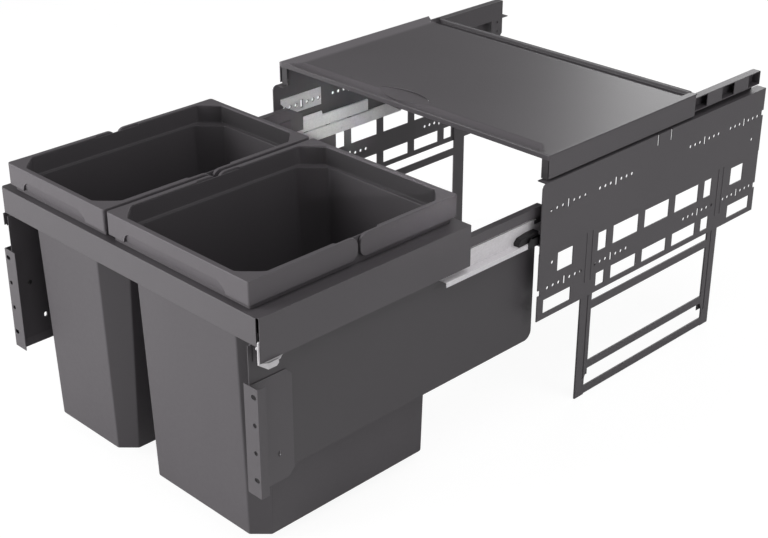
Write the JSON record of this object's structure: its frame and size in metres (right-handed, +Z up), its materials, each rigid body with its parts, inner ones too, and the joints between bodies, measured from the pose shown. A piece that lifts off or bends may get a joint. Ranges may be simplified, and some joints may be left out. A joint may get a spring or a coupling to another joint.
{
  "type": "pull out waste bin unit",
  "caption": "Pull out waste unit for a base cabinet: side plates on height-adjustable legs, telescopic runners, a hanging frame with lift-out bins and a sliding lid shelf.",
  "frame": {"origin": "middle of the footprint on the cabinet floor, under the pulled out unit", "axes": "+X to the right seen from the front, +Y into the cabinet, +Z up"},
  "size_m": [0.564, 1.0712, 0.4295],
  "materials": {
    "steel_paint": "satin anthracite powder coat",
    "zinc_steel": "galvanised sheet",
    "bin_plastic": "fine moulded grain",
    "handle_plastic": "satin",
    "black_plastic": "satin",
    "pad_plastic": "satin"
  },
  "bodies": {
    "mounting": {"mounting_plate_left": "steel_paint", "plate_bracket_left": "zinc_steel", "leg_guide_left": "steel_paint", "runner_fixed_left": "zinc_steel", "runner_rollers_left": "black_plastic", "shelf_rail_left": "steel_paint", "mounting_plate_right": "steel_paint", "plate_bracket_right": "zinc_steel", "leg_guide_right": "steel_paint", "runner_fixed_right": "zinc_steel", "runner_rollers_right": "black_plastic", "shelf_rail_right": "steel_paint", "plate_rivets": "zinc_steel"},
    "shelf": {"shelf_tray": "steel_paint", "shelf_slide_left": "black_plastic", "shelf_slide_right": "black_plastic", "shelf_cap_left": "steel_paint", "shelf_cap_right": "steel_paint", "shelf_pad": "pad_plastic"},
    "pull_out": {"frame_front": "steel_paint", "frame_back": "steel_paint", "bracket_screws": "black_plastic", "drawer_rail_left": "steel_paint", "drawer_side_left": "steel_paint", "frame_side_left": "steel_paint", "front_catch_left": "steel_paint", "door_bracket_left": "steel_paint", "drawer_rail_right": "steel_paint", "drawer_side_right": "steel_paint", "frame_side_right": "steel_paint", "front_catch_right": "zinc_steel", "door_bracket_right": "steel_paint"},
    "leg_left": {"leg_frame_left": "steel_paint", "leg_clips_left": "black_plastic"},
    "middle_left": {"runner_middle_left": "zinc_steel", "middle_wheels_left": "black_plastic", "stop_block_left": "black_plastic"},
    "bin_left": {"bin_left": "bin_plastic"},
    "handle_left_front": {"handle_left_front": "handle_plastic"},
    "handle_left_back": {"handle_left_back": "handle_plastic"},
    "leg_right": {"leg_frame_right": "steel_paint", "leg_clips_right": "black_plastic"},
    "middle_right": {"runner_middle_right": "zinc_steel", "middle_wheels_right": "black_plastic", "stop_block_right": "black_plastic"},
    "bin_right": {"bin_right": "bin_plastic"},
    "handle_right_front": {"handle_right_front": "handle_plastic"},
    "handle_right_back": {"handle_right_back": "handle_plastic"}
  },
  "joints": [
    {"name": "pull_out_slide", "type": "slide", "parent": "mounting", "child": "pull_out", "axis": [0, -1, 0], "range_m": [-0.505, 0]},
    {"name": "middle_left_slide", "type": "slide", "parent": "mounting", "child": "middle_left", "axis": [0, -1, 0], "range_m": [-0.2525, 0]},
    {"name": "middle_right_slide", "type": "slide", "parent": "mounting", "child": "middle_right", "axis": [0, -1, 0], "range_m": [-0.2525, 0]},
    {"name": "shelf_slide", "type": "slide", "parent": "mounting", "child": "shelf", "axis": [0, 1, 0], "range_m": [-0.24, 0]},
    {"name": "leg_left_height", "type": "slide", "parent": "mounting", "child": "leg_left", "axis": [0, 0, 1], "range_m": [-0.03, 0.02]},
    {"name": "bin_left_lift", "type": "slide", "parent": "pull_out", "child": "bin_left", "axis": [0, 0, 1], "range_m": [0, 0.37]},
    {"name": "handle_left_front_hinge", "type": "hinge", "parent": "bin_left", "child": "handle_left_front", "pos_m": [-0.144, -0.3639, 0.39735], "axis": [-1, 0, 0], "range_deg": [0, 90]},
    {"name": "handle_left_back_hinge", "type": "hinge", "parent": "bin_left", "child": "handle_left_back", "pos_m": [-0.144, -0.3284, 0.39735], "axis": [1, 0, 0], "range_deg": [0, 90]},
    {"name": "leg_right_height", "type": "slide", "parent": "mounting", "child": "leg_right", "axis": [0, 0, 1], "range_m": [-0.03, 0.02]},
    {"name": "bin_right_lift", "type": "slide", "parent": "pull_out", "child": "bin_right", "axis": [0, 0, 1], "range_m": [0, 0.37]},
    {"name": "handle_right_front_hinge", "type": "hinge", "parent": "bin_right", "child": "handle_right_front", "pos_m": [0.11535, -0.3639, 0.39735], "axis": [-1, 0, 0], "range_deg": [0, 90]},
    {"name": "handle_right_back_hinge", "type": "hinge", "parent": "bin_right", "child": "handle_right_back", "pos_m": [0.11535, -0.3284, 0.39735], "axis": [1, 0, 0], "range_deg": [0, 90]}
  ],
  "couplings": [
    {"joint": "middle_left_slide", "follows": "pull_out_slide", "ratio": 0.5},
    {"joint": "middle_right_slide", "follows": "pull_out_slide", "ratio": 0.5}
  ]
}
